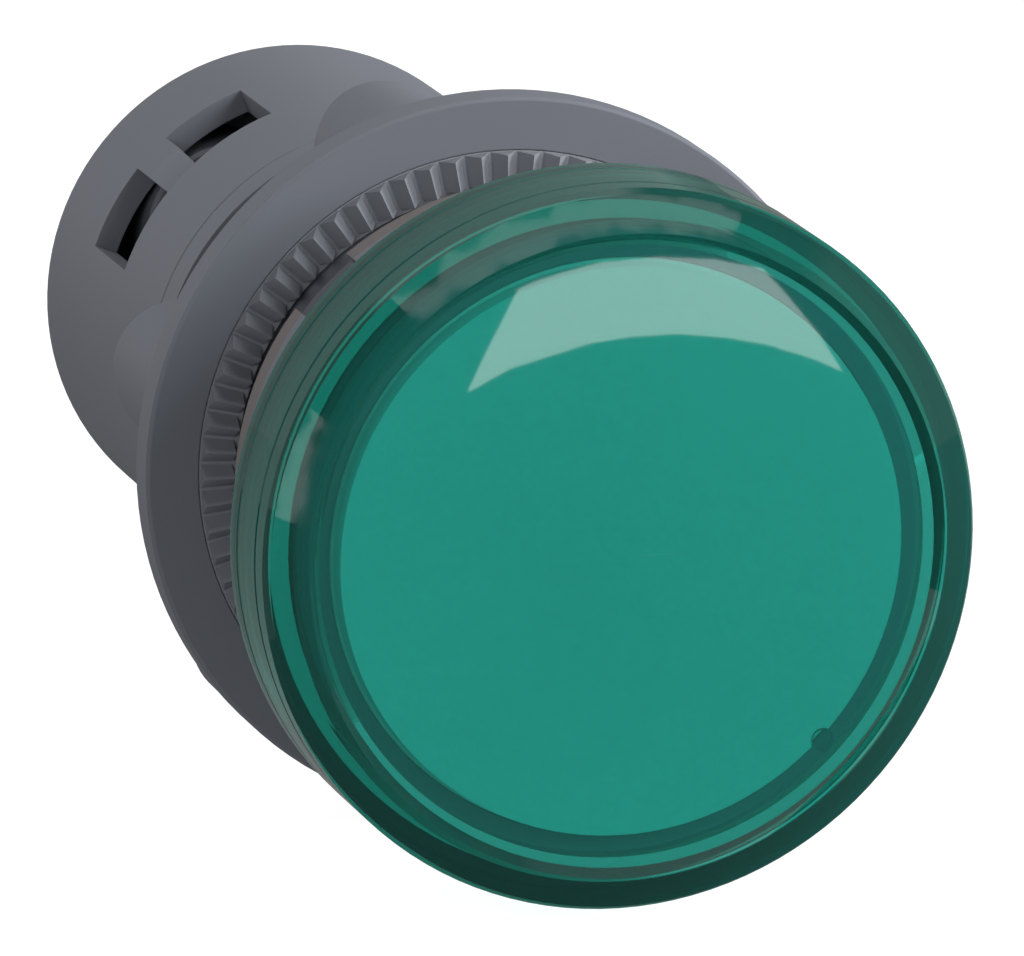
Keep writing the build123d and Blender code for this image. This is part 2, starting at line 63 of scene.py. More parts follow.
# %% [markdown]
# ## Reading sizes from the frame
#
# The pieces below have to sit exactly where the CAD parts are. Instead of typing
# those places again, they are read from the boxes of the CAD nodes, so the scene
# keeps fitting when the CAD model changes.

# %% Places along the axis
lens_low, lens_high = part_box("lens")
lens_radius = lens_high.x
front_y = lens_low.y
body_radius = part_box("rear_housing")[1].x
lowest_z = min(corner[2] for corner in cad_box)
print(f"lens radius {lens_radius / mm:.2f} mm, front at {front_y / mm:.2f} mm")

# %% [markdown]
# ## The camera
#
# The photograph was taken from the front, a little from the left and from above,
# with a long lens, which is why the light hardly tapers towards its rear. The
# camera's place was worked out from the ellipses of the rings. A field of view
# stays fixed here, so the distance sets the size of the object in the frame.

# %% Place the camera
image_width, image_height = 1024, 956
camera_azimuth = radians(-15.55)
camera_elevation = radians(12.744)
camera_distance = 508.44 * mm
camera_side = -4.614 * mm
camera_rise = 3.132 * mm
focal_in_pixels = 13000.0

right = Vector((cos(camera_azimuth), sin(camera_azimuth), 0))
up = Vector(
    (
        -sin(camera_azimuth) * sin(camera_elevation),
        cos(camera_azimuth) * sin(camera_elevation),
        cos(camera_elevation),
    )
)
back = right.cross(up)
lens_middle = Vector((0, front_y, 0))
camera_place = lens_middle + back * camera_distance + up * camera_rise + right * camera_side

camera_data = bpy.data.cameras.new("camera")
camera_data.sensor_fit = "HORIZONTAL"
camera_data.sensor_width = 36.0
camera_data.lens = focal_in_pixels / image_width * camera_data.sensor_width
camera_data.clip_start = 0.01
camera_data.clip_end = 50.0
camera = bpy.data.objects.new("camera", camera_data)
camera_turn = Matrix((right, up, back)).transposed().to_4x4()
camera.matrix_world = Matrix.Translation(camera_place) @ camera_turn
bpy.context.scene.collection.objects.link(camera)
bpy.context.scene.camera = camera
print("camera at", [round(v / mm, 1) for v in camera_place], "mm")

# %% [markdown]
# ## Shared effects for moulded plastic
#
# Injection-moulded plastic is never perfectly even: the mould's fine spark
# texture breaks up the gloss, and the tone drifts slightly over the part. Both
# effects are wanted on several materials, so they are one node group that puts
# out a colour, a roughness and a height for a Bump node.

# %% A node group for moulded surfaces
drift_per_metre = 90.0
drift_detail = 2.0
grain_detail = 3.0
grain_roughness = 0.65


def new_group(name, inputs, outputs):
    """Make a shader group with inputs {label: (kind, value)} and outputs {label: kind}."""
    group = bpy.data.node_groups.new(name, "ShaderNodeTree")
    for label, (kind, value) in inputs.items():
        socket = group.interface.new_socket(label, in_out="INPUT", socket_type=kind)
        socket.default_value = value
    for label, kind in outputs.items():
        group.interface.new_socket(label, in_out="OUTPUT", socket_type=kind)
    return group, group.nodes.new("NodeGroupInput"), group.nodes.new("NodeGroupOutput")


def math_node(tree, operation, first, second=None, third=None):
    """Add a Math node, with numbers or sockets as its values, and return its output."""
    node = tree.nodes.new("ShaderNodeMath")
    node.operation = operation
    for index, value in enumerate((first, second, third)):
        if value is None:
            continue
        if isinstance(value, (int, float)):
            node.inputs[index].default_value = value
        else:
            tree.links.new(value, node.inputs[index])
    return node.outputs[0]


def make_moulded_group():
    """Fine mould texture and a slow drift of tone, both on Object coordinates."""
    group, entry, exit_node = new_group(
        "moulded_surface",
        {
            "Color": ("NodeSocketColor", (0.2, 0.2, 0.2, 1)),
            "Drift": ("NodeSocketFloat", 0.08),
            "Speckle": ("NodeSocketFloat", 0.05),
            "Grain per mm": ("NodeSocketFloat", 9.0),
            "Roughness": ("NodeSocketFloat", 0.45),
            "Roughness spread": ("NodeSocketFloat", 0.08),
        },
        {"Color": "NodeSocketColor", "Roughness": "NodeSocketFloat", "Height": "NodeSocketFloat"},
    )
    coordinates = group.nodes.new("ShaderNodeTexCoord")
    drift = group.nodes.new("ShaderNodeTexNoise")
    drift.inputs["Scale"].default_value = drift_per_metre
    drift.inputs["Detail"].default_value = drift_detail
    grain = group.nodes.new("ShaderNodeTexNoise")
    grain.inputs["Detail"].default_value = grain_detail
    grain.inputs["Roughness"].default_value = grain_roughness
    group.links.new(coordinates.outputs["Object"], drift.inputs["Vector"])
    group.links.new(coordinates.outputs["Object"], grain.inputs["Vector"])
    grain_scale = math_node(group, "DIVIDE", entry.outputs["Grain per mm"], mm)
    group.links.new(grain_scale, grain.inputs["Scale"])

    slow = math_node(group, "SUBTRACT", drift.outputs["Fac"], 0.5)
    fine = math_node(group, "SUBTRACT", grain.outputs["Fac"], 0.5)
    tone = math_node(group, "MULTIPLY_ADD", slow, entry.outputs["Drift"], 1.0)
    tone = math_node(group, "MULTIPLY_ADD", fine, entry.outputs["Speckle"], tone)
    tinted = group.nodes.new("ShaderNodeVectorMath")
    tinted.operation = "SCALE"
    group.links.new(entry.outputs["Color"], tinted.inputs[0])
    group.links.new(tone, tinted.inputs["Scale"])
    group.links.new(tinted.outputs["Vector"], exit_node.inputs["Color"])
    spread = entry.outputs["Roughness spread"]
    rough = math_node(group, "MULTIPLY_ADD", fine, spread, entry.outputs["Roughness"])
    group.links.new(rough, exit_node.inputs["Roughness"])
    group.links.new(grain.outputs["Fac"], exit_node.inputs["Height"])
    return group


moulded_surface = make_moulded_group()


def srgb(red, green, blue):
    """Turn a colour as it is seen, from 0 to 255, into the linear value of a shader."""
    parts = [c / 255 for c in (red, green, blue)]
    linear = [c / 12.92 if c <= 0.04045 else ((c + 0.055) / 1.055) ** 2.4 for c in parts]
    return (*linear, 1.0)


# %% [markdown]
# A moulded part's material feeds that group into a Principled shader. Its edges
# are rounded in the shading alone, by a Bevel node under the Bump node.

# %% A material on that group
texture_height = 0.01 * mm
bevel_samples = 4


def moulded_material(
    name,
    color,
    roughness=0.45,
    drift=0.08,
    speckle=0.05,
    grain=9.0,
    bump=0.1,
    specular=0.5,
    edge=0.0,
):
    """A plastic with the moulded surface group, and edges rounded by the size given in mm."""
    material = bpy.data.materials.new(name)
    material.use_nodes = True
    tree = material.node_tree
    shader = tree.nodes["Principled BSDF"]
    shader.inputs["Specular IOR Level"].default_value = specular
    surface = tree.nodes.new("ShaderNodeGroup")
    surface.node_tree = moulded_surface
    surface.inputs["Color"].default_value = color
    surface.inputs["Drift"].default_value = drift
    surface.inputs["Speckle"].default_value = speckle
    surface.inputs["Grain per mm"].default_value = grain
    surface.inputs["Roughness"].default_value = roughness
    height = tree.nodes.new("ShaderNodeBump")
    height.inputs["Strength"].default_value = bump
    height.inputs["Distance"].default_value = texture_height
    tree.links.new(surface.outputs["Color"], shader.inputs["Base Color"])
    tree.links.new(surface.outputs["Roughness"], shader.inputs["Roughness"])
    tree.links.new(surface.outputs["Height"], height.inputs["Height"])
    tree.links.new(height.outputs["Normal"], shader.inputs["Normal"])
    if edge:
        rounded = tree.nodes.new("ShaderNodeBevel")
        rounded.samples = bevel_samples
        rounded.inputs["Radius"].default_value = edge * mm
        tree.links.new(rounded.outputs["Normal"], height.inputs["Normal"])
    return material


def dress(node, material):
    """Give a CAD node one material."""
    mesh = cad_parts[node].data
    mesh.materials.clear()
    mesh.materials.append(material)


# %% [markdown]
# ## The grey housing plastics
#
# The housing, the nut and the toothed ring are one family of dark, slightly
# bluish grey plastic with a fine satin texture. The toothed ring's grey is painted
# lighter, as painted light: it sits in the shade of the lens head, where the lamps
# light it too little. A Bevel node rounds the sharp CAD edges in the shading, so
# the flange, the teeth and the lobes catch a thin line of light as moulded edges do.

# %% Grey plastics
satin = {"specular": 0.3}
dark_grey = srgb(108, 111, 119)
# Painted light: the toothed ring's grey is lighter than the housing's, to stand in for light that
# does not reach it in its recess.
ring_painted_light_tone = srgb(130, 133, 140)
rubber_tone = srgb(110, 105, 105)
housing_grey = moulded_material("housing_grey", dark_grey, roughness=0.5, edge=0.07, **satin)
nut_grey = moulded_material("nut_grey", dark_grey, roughness=0.52, edge=0.09, **satin)
ring_grey_painted_light = moulded_material("ring_grey_painted_light", ring_painted_light_tone, roughness=0.5, edge=0.05, **satin)
seat_rubber = moulded_material(
    "seat_rubber", rubber_tone, roughness=0.7, speckle=0.1, edge=0.05, **satin
)

for node in ("front_housing", "rear_housing", "rear_cover"):
    dress(node, housing_grey)
dress("fixing_nut", nut_grey)
dress("tooth_ring", ring_grey_painted_light)
for node in ("panel_gasket", "lens_seal"):
    dress(node, seat_rubber)

# %% [markdown]
# ## The barrel's thread
#
# The nut runs on a thread along the barrel, which the CAD model leaves smooth. A
# thread is one profile that follows a helix, so Geometry Nodes make it: a spiral
# carries a diamond profile whose inner half sinks into the barrel, and which
# shrinks to nothing at both ends, where a real thread runs out. The result is
# baked into a plain mesh.

# %% A node tree for a screw thread
steps_per_turn = 96
profile_corners = 4
run_out_turns = 0.25


def make_thread_tree():
    """A ridge along a right-hand helix about the Y axis, from Start towards +Y."""
    tree = bpy.data.node_groups.new("screw_thread", "GeometryNodeTree")
    tree.interface.new_socket("Geometry", in_out="OUTPUT", socket_type="NodeSocketGeometry")
    for label in ("Core radius", "Depth", "Pitch", "Turns", "Start"):
        tree.interface.new_socket(label, in_out="INPUT", socket_type="NodeSocketFloat")
    tree.interface.new_socket("Material", in_out="INPUT", socket_type="NodeSocketMaterial")
    sizes = tree.nodes.new("NodeGroupInput")
    link = tree.links.new

    helix = tree.nodes.new("GeometryNodeCurveSpiral")
    helix.inputs["Resolution"].default_value = steps_per_turn
    link(sizes.outputs["Turns"], helix.inputs["Rotations"])
    link(sizes.outputs["Core radius"], helix.inputs["Start Radius"])
    link(sizes.outputs["Core radius"], helix.inputs["End Radius"])
    length = math_node(tree, "MULTIPLY", sizes.outputs["Turns"], sizes.outputs["Pitch"])
    link(length, helix.inputs["Height"])
    upright = tree.nodes.new("GeometryNodeSetCurveNormal")
    upright.mode = "Z_UP"
    link(helix.outputs["Curve"], upright.inputs["Curve"])

    along = tree.nodes.new("GeometryNodeSplineParameter").outputs["Factor"]
    nearer_end = math_node(tree, "MINIMUM", along, math_node(tree, "SUBTRACT", 1.0, along))
    turns_from_end = math_node(tree, "MULTIPLY", nearer_end, sizes.outputs["Turns"])
    run_out = math_node(tree, "DIVIDE", turns_from_end, run_out_turns)
    run_out = math_node(tree, "MINIMUM", run_out, 1.0)
    profile = tree.nodes.new("GeometryNodeCurvePrimitiveCircle")
    profile.mode = "RADIUS"
    profile.inputs["Resolution"].default_value = profile_corners
    link(sizes.outputs["Depth"], profile.inputs["Radius"])
    ridge = tree.nodes.new("GeometryNodeCurveToMesh")
    ridge.inputs["Fill Caps"].default_value = True
    link(profile.outputs["Curve"], ridge.inputs["Profile Curve"])
    link(upright.outputs["Curve"], ridge.inputs["Curve"])
    link(run_out, ridge.inputs["Scale"])

    offset = tree.nodes.new("ShaderNodeCombineXYZ")
    link(sizes.outputs["Start"], offset.inputs["Y"])
    lay_down = tree.nodes.new("GeometryNodeTransform")
    lay_down.inputs["Rotation"].default_value = (radians(-90), 0, 0)
    link(offset.outputs["Vector"], lay_down.inputs["Translation"])
    link(ridge.outputs["Mesh"], lay_down.inputs["Geometry"])
    crisp = tree.nodes.new("GeometryNodeSetShadeSmooth")
    crisp.inputs["Shade Smooth"].default_value = False
    link(lay_down.outputs["Geometry"], crisp.inputs["Geometry"])
    real = tree.nodes.new("GeometryNodeRealizeInstances")
    link(crisp.outputs["Geometry"], real.inputs["Geometry"])
    finish = tree.nodes.new("GeometryNodeSetMaterial")
    link(real.outputs["Geometry"], finish.inputs["Geometry"])
    link(sizes.outputs["Material"], finish.inputs["Material"])
    link(finish.outputs["Geometry"], tree.nodes.new("NodeGroupOutput").inputs["Geometry"])
    return tree


thread_tree = make_thread_tree()


def bake_nodes(name, tree, values):
    """Run a node tree with the values given by label, and return a plain mesh object."""
    carrier = bpy.data.objects.new(name + "_carrier", bpy.data.meshes.new(name + "_carrier"))
    bpy.context.scene.collection.objects.link(carrier)
    modifier = carrier.modifiers.new("nodes", "NODES")
    modifier.node_group = tree
    for item in tree.interface.items_tree:
        if item.in_out == "INPUT" and item.name in values:
            modifier[item.identifier] = values[item.name]
    depsgraph = bpy.context.evaluated_depsgraph_get()
    mesh = bpy.data.meshes.new_from_object(carrier.evaluated_get(depsgraph))
    mesh.name = name
    bpy.data.objects.remove(carrier)
    piece = bpy.data.objects.new(name, mesh)
    bpy.context.scene.collection.objects.link(piece)
    print(name, len(mesh.polygons), "faces")
    return piece


# %% [markdown]
# The same tree would serve any thread. Here it gets the barrel's pitch, its depth
# and the stretch of the barrel that is threaded.

# %% Cut the thread on the barrel
thread_pitch = 1.5 * mm
thread_start_y = 1.6 * mm
thread_end_y = 16.3 * mm
thread_depth = 0.4 * mm
thread_sink = 0.02 * mm

barrel_thread = bake_nodes(
    "barrel_thread",
    thread_tree,
    {
        "Core radius": body_radius - thread_sink,
        "Depth": thread_depth,
        "Pitch": thread_pitch,
        "Turns": (thread_end_y - thread_start_y) / thread_pitch,
        "Start": thread_start_y,
        "Material": housing_grey,
    },
)
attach(barrel_thread, "housing")

# %% [markdown]
# ## Sleeves over the screw heads
#
# A screwdriver is guided onto each terminal screw by a short sleeve in front of
# its hole in the rear cover. It also keeps the terminal chamber dark when it is
# seen through the wire windows. A sleeve is a ring profile turned about the
# screw's own axis: four corners, a small lead-in and 64 steps around.

# %% Turn the sleeves
sleeve_steps = 64
sleeve_play = 0.2 * mm
sleeve_wall = 0.65 * mm
sleeve_lead_in = 0.15 * mm
sleeve_front_y = 31.45 * mm
sleeve_overlap = 0.08 * mm


def turned_ring(name, centre_x, centre_z, profile, steps):
    """A closed ring: a profile of (radius, y) corners, carried around a line along Y."""
    corner_count = len(profile)
    points = []
    for step in range(steps):
        turn = 2 * pi * step / steps
        points += [(centre_x + r * cos(turn), y, centre_z + r * sin(turn)) for r, y in profile]
    faces = []
    for step in range(steps):
        here, there = step * corner_count, (step + 1) % steps * corner_count
        for corner in range(corner_count):
            after = (corner + 1) % corner_count
            faces.append((here + corner, here + after, there + after, there + corner))
    mesh = bpy.data.meshes.new(name)
    mesh.from_pydata(points, [], faces)
    mesh.validate()
    piece = bpy.data.objects.new(name, mesh)
    bpy.context.scene.collection.objects.link(piece)
    return piece


sleeve_rear_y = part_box("rear_cover")[0].y + sleeve_overlap
for terminal in ("x1", "x2"):
    screw_low, screw_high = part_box("terminal_screw_" + terminal)
    screw_middle = (screw_low + screw_high) / 2
    inner = 0.5 * (screw_high.x - screw_low.x) + sleeve_play
    outer = inner + sleeve_wall
    sleeve = turned_ring(
        "screw_sleeve_" + terminal,
        screw_middle.x,
        screw_middle.z,
        [
            (inner, sleeve_rear_y),
            (inner, sleeve_front_y),
            (outer - sleeve_lead_in, sleeve_front_y),
            (outer, sleeve_front_y + sleeve_lead_in),
            (outer, sleeve_rear_y),
        ],
        sleeve_steps,
    )
    sleeve.data.materials.append(housing_grey)
    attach(sleeve, "housing")

# %% [markdown]
# ## The diffuser
#
# Right behind the clear window sits a frosted cap that spreads the light of the
# LEDs. In the photograph it gives the face its even green with a very fine
# sparkle.

# %% The frosted diffuser
diffuser_green = moulded_material(
    "diffuser_green",
    srgb(190, 236, 232),
    roughness=0.6,
    drift=0.03,
    speckle=0.25,
    grain=6.0,
    specular=0.1,
)
dress("diffuser", diffuser_green)

# %% [markdown]
# ## The lens
#
# The lens is a deep green moulding, clear enough to show what is behind it, with a
# little milkiness of its own: light that enters the plastic is partly scattered,
# which is why even its rim over the dark housing stays green. Nine tenths of the
# shader transmits and the rest scatters. The plastic also takes light away along
# its depth, so that the long ways through the rim and the skirt come out darker
# than the short way through the window: after the measured depth, the shares of
# red, green and blue named below are left over. Light that only passes through
# the lens on its way to the diffuser would be lost to direct light, so shadow rays
# take a straight way through it.

# %% The green lens material
lens_green = (0.064, 0.352, 0.3, 1)
lens_pass = (0.77, 1.0, 1.0, 1)
lens_left_over = (0.5, 0.85, 0.82)
lens_measured_depth = 1.5 * mm
lens_clearness = 0.9
lens_roughness = 0.02
lens_refraction = 1.49
lens_drift = 0.06
lens_speckle = 0.02


def make_lens_material():
    """Slightly milky green plastic, with a straight way through it for shadow rays."""
    material = bpy.data.materials.new("green_lens")
    material.use_nodes = True
    tree = material.node_tree
    shader = tree.nodes["Principled BSDF"]
    shader.inputs["Roughness"].default_value = lens_roughness
    shader.inputs["IOR"].default_value = lens_refraction
    shader.inputs["Transmission Weight"].default_value = lens_clearness
    surface = tree.nodes.new("ShaderNodeGroup")
    surface.node_tree = moulded_surface
    surface.inputs["Color"].default_value = lens_green
    surface.inputs["Drift"].default_value = lens_drift
    surface.inputs["Speckle"].default_value = lens_speckle
    tree.links.new(surface.outputs["Color"], shader.inputs["Base Color"])
    straight = tree.nodes.new("ShaderNodeBsdfTransparent")
    straight.inputs["Color"].default_value = lens_pass
    path = tree.nodes.new("ShaderNodeLightPath")
    choose = tree.nodes.new("ShaderNodeMixShader")
    shadow_ray, diffuse_ray = path.outputs["Is Shadow Ray"], path.outputs["Is Diffuse Ray"]
    passing = math_node(tree, "MAXIMUM", shadow_ray, diffuse_ray)
    tree.links.new(passing, choose.inputs["Fac"])
    tree.links.new(shader.outputs["BSDF"], choose.inputs[1])
    tree.links.new(straight.outputs["BSDF"], choose.inputs[2])
    output = tree.nodes["Material Output"]
    tree.links.new(choose.outputs["Shader"], output.inputs["Surface"])
    depth = tree.nodes.new("ShaderNodeVolumeAbsorption")
    losses = [-log(share) / lens_measured_depth for share in lens_left_over]
    depth.inputs["Density"].default_value = max(losses)
    depth.inputs["Color"].default_value = [1 - loss / max(losses) for loss in losses] + [1.0]
    tree.links.new(depth.outputs["Volume"], output.inputs["Volume"])
    return material


green_lens = make_lens_material()
dress("lens", green_lens)

# %% [markdown]
# ## The parts inside
#
# The terminals show through the wire windows and the driver holes, and the
# circuit is only seen if the housing is taken away. Each part still gets the look
# of the real one, drawn by rules on the object's own coordinates: bands on the
# resistors, tracks and pads on the boards, a stripe on the can, and a yellow
# window in each LED chip. Only the terminals' metal is painted darker than the
# real metal, as painted shade for the dark terminal chamber. The board stands
# across the direction at 135 degrees, so most rules measure across and along that
# direction.

# %% Measures for the rules
board_angle = radians(135.0)
board_outward = Vector((cos(board_angle), 0, sin(board_angle)))
board_sideways = Vector((sin(board_angle), 0, -cos(board_angle)))
axis = Vector((0, 1, 0))


def start_material(name, roughness, metallic=0.0, specular=0.5):
    """A new material, with its tree, its shader and its Object coordinates."""
    material = bpy.data.materials.new(name)
    material.use_nodes = True
    tree = material.node_tree
    shader = tree.nodes["Principled BSDF"]
    shader.inputs["Roughness"].default_value = roughness
    shader.inputs["Metallic"].default_value = metallic
    shader.inputs["Specular IOR Level"].default_value = specular
    return material, tree, shader, tree.nodes.new("ShaderNodeTexCoord").outputs["Object"]


def measure(tree, place, direction):
    """Distance along a direction through the origin."""
    node = tree.nodes.new("ShaderNodeVectorMath")
    node.operation = "DOT_PRODUCT"
    tree.links.new(place, node.inputs[0])
    node.inputs[1].default_value = direction
    return node.outputs["Value"]


def distance(tree, first, second):
    """Length of the hypotenuse over two measures at a right angle."""
    squared = math_node(tree, "MULTIPLY", second, second)
    return math_node(tree, "SQRT", math_node(tree, "MULTIPLY_ADD", first, first, squared))


def centred_modulo(tree, value, step):
    """Fold a value into one step, measured from the middle of that step."""
    shifted = math_node(tree, "FLOORED_MODULO", value, step)
    return math_node(tree, "SUBTRACT", shifted, 0.5 * step)


def band_mask(tree, value, middle, width):
    """1 where the value lies within the width about the middle, otherwise 0."""
    return math_node(tree, "COMPARE", value, middle, 0.5 * width)


def two_tone(tree, mask, base, mark):
    """The base colour, and the mark's colour where the mask is 1."""
    node = tree.nodes.new("ShaderNodeMix")
    node.data_type = "RGBA"
    tree.links.new(mask, node.inputs["Factor"])
    for label, color in (("A", base), ("B", mark)):
        socket = next(i for i in node.inputs if i.name == label and i.type == "RGBA")
        if isinstance(color, tuple):
            socket.default_value = color
        else:
            tree.links.new(color, socket)
    return next(o for o in node.outputs if o.type == "RGBA")


# %% [markdown]
# Stamped brass, plated steel and tinned pins share one effect: fine lines along
# the axis, which change the tone and the gloss a little. The brass and the plated
# steel are painted much darker than bare metal, as painted shade for the dark
# terminal chamber behind the wire windows.

# %% Metals
lines_per_metre = 12000.0
line_detail = 2.0
line_stretch = (1.0, 0.08, 1.0)
line_tone = 0.3
line_gloss = 0.25
metal_bump = 0.15
metal_edge = 0.06 * mm


def make_brushed_group():
    """Fine lines along the axis with an uneven gloss, for stamped and plated metal."""
    group, entry, exit_node = new_group(
        "brushed_surface",
        {
            "Color": ("NodeSocketColor", (0.5, 0.5, 0.5, 1)),
            "Roughness": ("NodeSocketFloat", 0.4),
        },
        {"Color": "NodeSocketColor", "Roughness": "NodeSocketFloat", "Height": "NodeSocketFloat"},
    )
    stretched = group.nodes.new("ShaderNodeVectorMath")
    stretched.operation = "MULTIPLY"
    stretched.inputs[1].default_value = line_stretch
    coordinates = group.nodes.new("ShaderNodeTexCoord")
    group.links.new(coordinates.outputs["Object"], stretched.inputs[0])
    lines = group.nodes.new("ShaderNodeTexNoise")
    lines.inputs["Scale"].default_value = lines_per_metre
    lines.inputs["Detail"].default_value = line_detail
    group.links.new(stretched.outputs["Vector"], lines.inputs["Vector"])
    fine = math_node(group, "SUBTRACT", lines.outputs["Fac"], 0.5)
    tinted = group.nodes.new("ShaderNodeVectorMath")
    tinted.operation = "SCALE"
    group.links.new(entry.outputs["Color"], tinted.inputs[0])
    tone = math_node(group, "MULTIPLY_ADD", fine, line_tone, 1.0)
    group.links.new(tone, tinted.inputs["Scale"])
    group.links.new(tinted.outputs["Vector"], exit_node.inputs["Color"])
    rough = math_node(group, "MULTIPLY_ADD", fine, line_gloss, entry.outputs["Roughness"])
    group.links.new(rough, exit_node.inputs["Roughness"])
    group.links.new(lines.outputs["Fac"], exit_node.inputs["Height"])
    return group


brushed_surface = make_brushed_group()


def metal_material(name, color, roughness):
    """Plated or bare metal on the brushed group, with softly broken edges."""
    material, tree, shader, _ = start_material(name, roughness, metallic=1.0)
    surface = tree.nodes.new("ShaderNodeGroup")
    surface.node_tree = brushed_surface
    surface.inputs["Color"].default_value = color
    surface.inputs["Roughness"].default_value = roughness
    height = tree.nodes.new("ShaderNodeBump")
    height.inputs["Strength"].default_value = metal_bump
    height.inputs["Distance"].default_value = texture_height
    rounded = tree.nodes.new("ShaderNodeBevel")
    rounded.samples = bevel_samples
    rounded.inputs["Radius"].default_value = metal_edge
    tree.links.new(rounded.outputs["Normal"], height.inputs["Normal"])
    tree.links.new(surface.outputs["Color"], shader.inputs["Base Color"])
    tree.links.new(surface.outputs["Roughness"], shader.inputs["Roughness"])
    tree.links.new(surface.outputs["Height"], height.inputs["Height"])
    tree.links.new(height.outputs["Normal"], shader.inputs["Normal"])
    return material


# Painted shade: the steel and brass colours are far darker than the real metals, so that the
# terminals stay dark behind the windows.
plated_steel = metal_material("plated_steel", srgb(96, 97, 100), 0.45)
terminal_brass = metal_material("terminal_brass", srgb(128, 108, 66), 0.42)
tinned_pin = metal_material("tinned_pin", srgb(190, 190, 186), 0.35)
for terminal in ("x1", "x2"):
    dress("terminal_plate_" + terminal, terminal_brass)
    dress("wire_clamp_" + terminal, plated_steel)
    dress("terminal_screw_" + terminal, plated_steel)
dress("board_pins", tinned_pin)

# %% [markdown]
# A colour ramp along each resistor carries its bands, at shares of its length.

# %% The resistors' colour bands
resistor_length = 5.8 * mm
band_places = {
    0.14: srgb(120, 70, 40),
    0.3: srgb(25, 25, 25),
    0.44: srgb(200, 60, 40),
    0.74: srgb(190, 150, 70),
}
band_share = 0.08
resistor_blue = srgb(120, 170, 195)

resistor_coat, tree, shader, place = start_material("resistor_coat", 0.3)
bands = tree.nodes.new("ShaderNodeValToRGB")
bands.color_ramp.interpolation = "CONSTANT"
bands.color_ramp.elements[0].color = resistor_blue
bands.color_ramp.elements.remove(bands.color_ramp.elements[1])
for middle, color in band_places.items():
    bands.color_ramp.elements.new(middle).color = color
    bands.color_ramp.elements.new(middle + band_share).color = resistor_blue
sideways = measure(tree, place, board_sideways)
along = math_node(tree, "MULTIPLY_ADD", sideways, 1.0 / resistor_length, 0.5)
tree.links.new(along, bands.inputs["Fac"])
tree.links.new(bands.outputs["Color"], shader.inputs["Base Color"])
dress("resistors", resistor_coat)

# %% [markdown]
# The can wears a dark sleeve with a pale stripe on the side away from the board,
# and its end is bare metal.

# %% The can
can_low, can_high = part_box("smoothing_capacitor")
can_middle = (can_low + can_high) / 2
stripe_width = 1.1 * mm
bare_depth = 0.05 * mm
can_sleeve, tree, shader, place = start_material("can_sleeve", 0.35)
across = measure(tree, place, board_sideways)
outward = measure(tree, place, board_outward)
facing_out = math_node(tree, "GREATER_THAN", outward, can_middle.dot(board_outward))
stripe = band_mask(tree, across, can_middle.dot(board_sideways), stripe_width)
stripe = math_node(tree, "MULTIPLY", stripe, facing_out)
lengthwise = measure(tree, place, axis)
bare_end = math_node(tree, "GREATER_THAN", lengthwise, can_high.y - bare_depth)
sleeve_color = two_tone(tree, stripe, srgb(40, 42, 52), srgb(200, 202, 205))
can_color = two_tone(tree, bare_end, sleeve_color, srgb(200, 200, 202))
tree.links.new(can_color, shader.inputs["Base Color"])
tree.links.new(bare_end, shader.inputs["Metallic"])
dress("smoothing_capacitor", can_sleeve)

# %% [markdown]
# The boxed capacitor is a red case with a pale resin fill at its lead end, and the
# rectifier a black moulding with a pale mark at one end. Both keep the moulded
# surface under their mark.

# %% The boxed capacitor and the rectifier
resin_depth = 0.4 * mm
mark_inset = 0.7 * mm
mark_width = 0.4 * mm


def add_mark(material, make_mask, mark):
    """Colour a moulded material where the mask, made from the distance along the axis, is 1."""
    tree = material.node_tree
    place = tree.nodes.new("ShaderNodeTexCoord").outputs["Object"]
    mask = make_mask(tree, measure(tree, place, axis))
    color = two_tone(tree, mask, tree.nodes["Group"].outputs["Color"], mark)
    tree.links.new(color, tree.nodes["Principled BSDF"].inputs["Base Color"])


resin_end_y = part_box("film_capacitor")[0].y + resin_depth
case_red = moulded_material(
    "case_red", srgb(165, 52, 42), roughness=0.35, drift=0.1, speckle=0.1, edge=0.08
)
add_mark(
    case_red,
    lambda tree, along: math_node(tree, "LESS_THAN", along, resin_end_y),
    srgb(205, 190, 150),
)
dress("film_capacitor", case_red)

mark_middle_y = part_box("rectifier")[1].y - mark_inset
block_black = moulded_material(
    "block_black", srgb(40, 40, 43), roughness=0.6, speckle=0.3, bump=0.3, edge=0.06
)
add_mark(
    block_black,
    lambda tree, along: band_mask(tree, along, mark_middle_y, mark_width),
    srgb(205, 205, 205),
)
dress("rectifier", block_black)

# %% [markdown]
# The varistor is a lacquered disc with the soft waves of a dipped coat.

# %% The varistor
coat_blue = moulded_material(
    "coat_blue", srgb(48, 92, 160), roughness=0.25, drift=0.3, grain=1.2, bump=0.8
)
dress("varistor", coat_blue)

# %% [markdown]
# The power board has green lacquer over tracks, with rows of tinned pads. The
# distance from the nearest pad comes from folding both directions into one pitch.

# %% The power board
pad_pitch = 1.27 * mm
pad_radius = 0.3 * mm
track_width = 0.35 * mm
weave_per_metre = 2500.0
board_lacquer, tree, shader, place = start_material("board_lacquer", 0.35)
sideways = centred_modulo(tree, measure(tree, place, board_sideways), pad_pitch)
lengthwise = centred_modulo(tree, measure(tree, place, axis), pad_pitch)
pads = math_node(tree, "LESS_THAN", distance(tree, sideways, lengthwise), pad_radius)
tracks = band_mask(tree, sideways, 0.0, track_width)
weave = tree.nodes.new("ShaderNodeTexNoise")
weave.inputs["Scale"].default_value = weave_per_metre
tree.links.new(place, weave.inputs["Vector"])
woven = two_tone(tree, weave.outputs["Fac"], srgb(30, 78, 50), srgb(44, 98, 64))
lacquered = two_tone(tree, tracks, woven, srgb(66, 132, 84))
board_color = two_tone(tree, pads, lacquered, srgb(196, 196, 190))
tree.links.new(board_color, shader.inputs["Base Color"])
tree.links.new(pads, shader.inputs["Metallic"])
